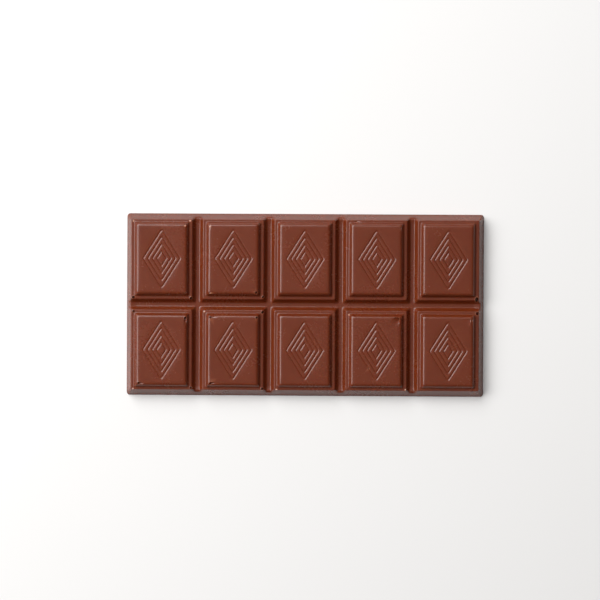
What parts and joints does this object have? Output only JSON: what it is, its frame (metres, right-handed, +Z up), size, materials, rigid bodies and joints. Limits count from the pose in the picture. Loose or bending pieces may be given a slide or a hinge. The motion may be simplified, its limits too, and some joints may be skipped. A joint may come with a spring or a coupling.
{
  "type": "chocolate bar",
  "caption": "Flat moulded chocolate bar of rectangular pieces divided by grooves, each piece with a stepped edge and nested lozenge lines on its raised panel.",
  "frame": {"origin": "centre of the bar's flat back, which is the surface that it lies on", "axes": "+X along the bar's long side, +Y along its short side, +Z up out of the panels"},
  "size_m": [0.155, 0.079, 0.008],
  "materials": {
    "milk_chocolate": "satin"
  },
  "bodies": {
    "root": {"chocolate_bar": "milk_chocolate"}
  },
  "joints": []
}
